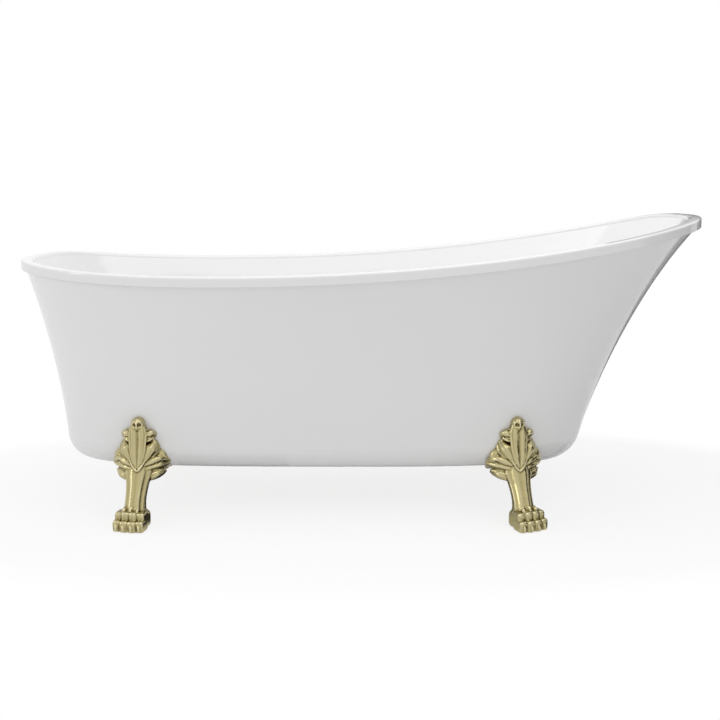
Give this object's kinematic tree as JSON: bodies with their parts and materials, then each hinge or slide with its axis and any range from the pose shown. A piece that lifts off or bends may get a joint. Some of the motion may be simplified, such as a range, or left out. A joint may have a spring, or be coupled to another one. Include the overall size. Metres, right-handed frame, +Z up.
{
  "type": "clawfoot bathtub",
  "caption": "White slipper bathtub with one high end, a rim band all round and four lion-paw feet in brushed gold, with click waste and overflow.",
  "frame": {"origin": "on the floor under the middle of the rim's length and width", "axes": "+X along the tub to the head end, which is the high backrest; +Y across the tub; +Z up. The waste and overflow are at the -X end."},
  "size_m": [1.7, 0.772, 0.7416],
  "materials": {
    "acrylic_wet": "high-gloss white cast acrylic",
    "acrylic_skirt": "high-gloss white cast acrylic",
    "adhesive": "cured off-white bonding paste",
    "frame_steel": "black powder coat on steel tube and plate",
    "zinc_steel": "zinc-plated fasteners",
    "board_wood": "plain plywood, sealed",
    "gold_casting": "cast aluminium with brushed champagne-gold plating",
    "gold_trim": "brushed champagne-gold plating on brass",
    "plain_brass": "plain machined brass",
    "black_rubber": "black sealing rubber",
    "black_plastic": "black moulded plastic",
    "pad_plastic": "dark grey hard plastic",
    "white_plastic": "white moulded plumbing plastic"
  },
  "bodies": {
    "tub": {"basin": "acrylic_wet", "skirt": "acrylic_skirt", "rim_bond_bead": "adhesive", "frame_rail_near": "frame_steel", "frame_rail_far": "frame_steel", "cross_tube_foot_end": "frame_steel", "cross_tube_middle": "frame_steel", "cross_tube_head_end": "frame_steel", "rail_end_caps": "black_plastic", "board_screws": "zinc_steel", "base_board": "board_wood", "foot_bolts": "zinc_steel", "foot_washers": "zinc_steel", "foot_nuts": "zinc_steel", "leveller_inserts": "plain_brass", "drain_flange": "gold_trim", "stopper_cartridge": "plain_brass", "drain_gasket": "black_rubber", "waste_body": "white_plastic", "tailpiece": "plain_brass", "tailpiece_nut": "white_plastic", "tailpiece_washer": "black_rubber", "overflow_cover": "gold_trim", "overflow_screw": "gold_trim", "overflow_gasket": "black_rubber", "overflow_body": "white_plastic", "overflow_pipe": "white_plastic", "overflow_nuts": "white_plastic", "overflow_washers": "black_rubber", "foot_plate_foot_end_near": "frame_steel", "claw_foot_foot_end_near": "gold_casting", "foot_plate_foot_end_far": "frame_steel", "claw_foot_foot_end_far": "gold_casting", "foot_plate_head_end_near": "frame_steel", "claw_foot_head_end_near": "gold_casting", "foot_plate_head_end_far": "frame_steel", "claw_foot_head_end_far": "gold_casting"},
    "stopper": {"stopper_cap": "gold_trim", "stopper_seal": "black_rubber"},
    "leveller_foot_end_near": {"leveller_pad_foot_end_near": "pad_plastic", "leveller_stud_foot_end_near": "zinc_steel"},
    "leveller_foot_end_far": {"leveller_pad_foot_end_far": "pad_plastic", "leveller_stud_foot_end_far": "zinc_steel"},
    "leveller_head_end_near": {"leveller_pad_head_end_near": "pad_plastic", "leveller_stud_head_end_near": "zinc_steel"},
    "leveller_head_end_far": {"leveller_pad_head_end_far": "pad_plastic", "leveller_stud_head_end_far": "zinc_steel"}
  },
  "joints": [
    {"name": "stopper_lift", "type": "slide", "parent": "tub", "child": "stopper", "axis": [0, 0, 1], "range_m": [0, 0.008]},
    {"name": "leveller_travel_foot_end_near", "type": "slide", "parent": "tub", "child": "leveller_foot_end_near", "axis": [0, 0, -1], "range_m": [0, 0.012]},
    {"name": "leveller_travel_foot_end_far", "type": "slide", "parent": "tub", "child": "leveller_foot_end_far", "axis": [0, 0, -1], "range_m": [0, 0.012]},
    {"name": "leveller_travel_head_end_near", "type": "slide", "parent": "tub", "child": "leveller_head_end_near", "axis": [0, 0, -1], "range_m": [0, 0.012]},
    {"name": "leveller_travel_head_end_far", "type": "slide", "parent": "tub", "child": "leveller_head_end_far", "axis": [0, 0, -1], "range_m": [0, 0.012]}
  ]
}
